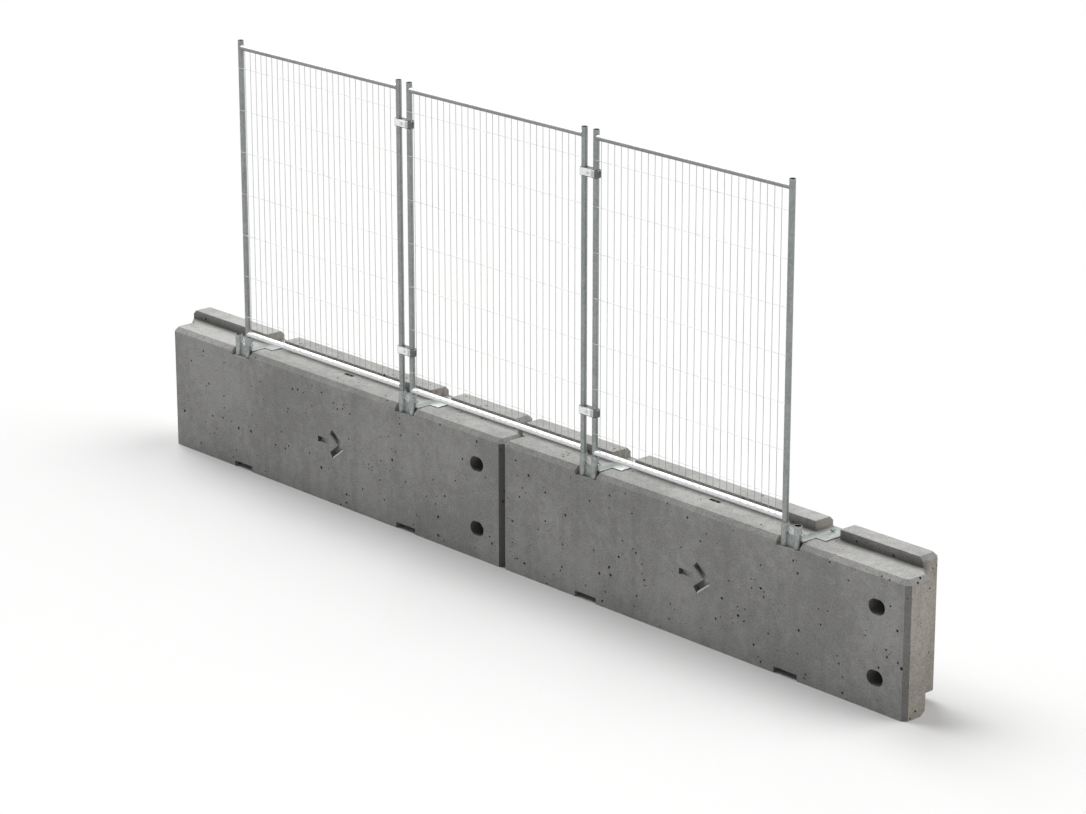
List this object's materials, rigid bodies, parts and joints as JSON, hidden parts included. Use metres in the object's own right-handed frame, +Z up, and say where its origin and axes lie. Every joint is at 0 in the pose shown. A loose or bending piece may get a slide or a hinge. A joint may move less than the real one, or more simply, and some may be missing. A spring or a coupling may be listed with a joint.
{
  "type": "temporary vertical concrete barrier",
  "caption": "Free-standing run of interlocking concrete barrier units, with steel mesh fence panels standing in tube sockets along the front edge and joined by bolted couplers.",
  "frame": {"origin": "on the ground, under the middle of the whole run", "axes": "+X along the run towards the end with the stepped tail, +Y from the mesh side to the rib side, +Z up"},
  "size_m": [6.046, 0.335, 2.62],
  "materials": {
    "concrete": "cast against smooth forms, matt, with small air holes",
    "reinforcing_steel": "as rolled, lightly rusted",
    "bare_steel": "hot-dip galvanised, dull",
    "galvanised_bracket": "hot-dip galvanised",
    "galvanised_tube": "hot-dip galvanised",
    "galvanised_wire": "hot-dip galvanised",
    "galvanised_coupler": "bright galvanised",
    "zinc_fasteners": "zinc plated"
  },
  "bodies": {
    "barrier": {"left_barrier_unit": "concrete", "left_reinforcement_cage": "reinforcing_steel", "left_lifting_anchor": "bare_steel", "right_barrier_unit": "concrete", "right_reinforcement_cage": "reinforcing_steel", "right_lifting_anchor": "bare_steel", "socket_bracket_1": "galvanised_bracket", "socket_bracket_2": "galvanised_bracket", "socket_bracket_3": "galvanised_bracket", "socket_bracket_4": "galvanised_bracket", "bracket_bolts": "zinc_fasteners", "bracket_washers": "zinc_fasteners", "cast_in_bolt_sockets": "zinc_fasteners", "socket_locking_screws": "zinc_fasteners"},
    "panel_1": {"panel_1_left_leg": "galvanised_tube", "panel_1_right_leg": "galvanised_tube", "panel_1_top_rail": "galvanised_tube", "panel_1_bottom_rail": "galvanised_tube", "panel_1_upright_wires": "galvanised_wire", "panel_1_cross_wires": "galvanised_wire"},
    "panel_2": {"panel_2_left_leg": "galvanised_tube", "panel_2_right_leg": "galvanised_tube", "panel_2_top_rail": "galvanised_tube", "panel_2_bottom_rail": "galvanised_tube", "panel_2_upright_wires": "galvanised_wire", "panel_2_cross_wires": "galvanised_wire"},
    "panel_3": {"panel_3_left_leg": "galvanised_tube", "panel_3_right_leg": "galvanised_tube", "panel_3_top_rail": "galvanised_tube", "panel_3_bottom_rail": "galvanised_tube", "panel_3_upright_wires": "galvanised_wire", "panel_3_cross_wires": "galvanised_wire"},
    "lower_coupler_1_front": {"lower_coupler_1_front_half": "galvanised_coupler", "lower_coupler_1_bolt": "zinc_fasteners"},
    "lower_coupler_1_rear": {"lower_coupler_1_rear_half": "galvanised_coupler", "lower_coupler_1_nut": "zinc_fasteners"},
    "upper_coupler_1_front": {"upper_coupler_1_front_half": "galvanised_coupler", "upper_coupler_1_bolt": "zinc_fasteners"},
    "upper_coupler_1_rear": {"upper_coupler_1_rear_half": "galvanised_coupler", "upper_coupler_1_nut": "zinc_fasteners"},
    "lower_coupler_2_front": {"lower_coupler_2_front_half": "galvanised_coupler", "lower_coupler_2_bolt": "zinc_fasteners"},
    "lower_coupler_2_rear": {"lower_coupler_2_rear_half": "galvanised_coupler", "lower_coupler_2_nut": "zinc_fasteners"},
    "upper_coupler_2_front": {"upper_coupler_2_front_half": "galvanised_coupler", "upper_coupler_2_bolt": "zinc_fasteners"},
    "upper_coupler_2_rear": {"upper_coupler_2_rear_half": "galvanised_coupler", "upper_coupler_2_nut": "zinc_fasteners"}
  },
  "joints": [
    {"name": "panel_1_lift", "type": "slide", "parent": "barrier", "child": "panel_1", "axis": [0, 0, 1], "range_m": [0, 0.08]},
    {"name": "panel_2_lift", "type": "slide", "parent": "barrier", "child": "panel_2", "axis": [0, 0, 1], "range_m": [0, 0.08]},
    {"name": "panel_3_lift", "type": "slide", "parent": "barrier", "child": "panel_3", "axis": [0, 0, 1], "range_m": [0, 0.08]},
    {"name": "lower_coupler_1_front_slide", "type": "slide", "parent": "barrier", "child": "lower_coupler_1_front", "axis": [0, -1, 0], "range_m": [0, 0.06]},
    {"name": "lower_coupler_1_rear_slide", "type": "slide", "parent": "barrier", "child": "lower_coupler_1_rear", "axis": [0, 1, 0], "range_m": [0, 0.06]},
    {"name": "upper_coupler_1_front_slide", "type": "slide", "parent": "barrier", "child": "upper_coupler_1_front", "axis": [0, -1, 0], "range_m": [0, 0.06]},
    {"name": "upper_coupler_1_rear_slide", "type": "slide", "parent": "barrier", "child": "upper_coupler_1_rear", "axis": [0, 1, 0], "range_m": [0, 0.06]},
    {"name": "lower_coupler_2_front_slide", "type": "slide", "parent": "barrier", "child": "lower_coupler_2_front", "axis": [0, -1, 0], "range_m": [0, 0.06]},
    {"name": "lower_coupler_2_rear_slide", "type": "slide", "parent": "barrier", "child": "lower_coupler_2_rear", "axis": [0, 1, 0], "range_m": [0, 0.06]},
    {"name": "upper_coupler_2_front_slide", "type": "slide", "parent": "barrier", "child": "upper_coupler_2_front", "axis": [0, -1, 0], "range_m": [0, 0.06]},
    {"name": "upper_coupler_2_rear_slide", "type": "slide", "parent": "barrier", "child": "upper_coupler_2_rear", "axis": [0, 1, 0], "range_m": [0, 0.06]}
  ],
  "couplings": [
    {"joint": "lower_coupler_1_rear_slide", "follows": "lower_coupler_1_front_slide", "ratio": 1},
    {"joint": "upper_coupler_1_rear_slide", "follows": "upper_coupler_1_front_slide", "ratio": 1},
    {"joint": "lower_coupler_2_rear_slide", "follows": "lower_coupler_2_front_slide", "ratio": 1},
    {"joint": "upper_coupler_2_rear_slide", "follows": "upper_coupler_2_front_slide", "ratio": 1}
  ]
}
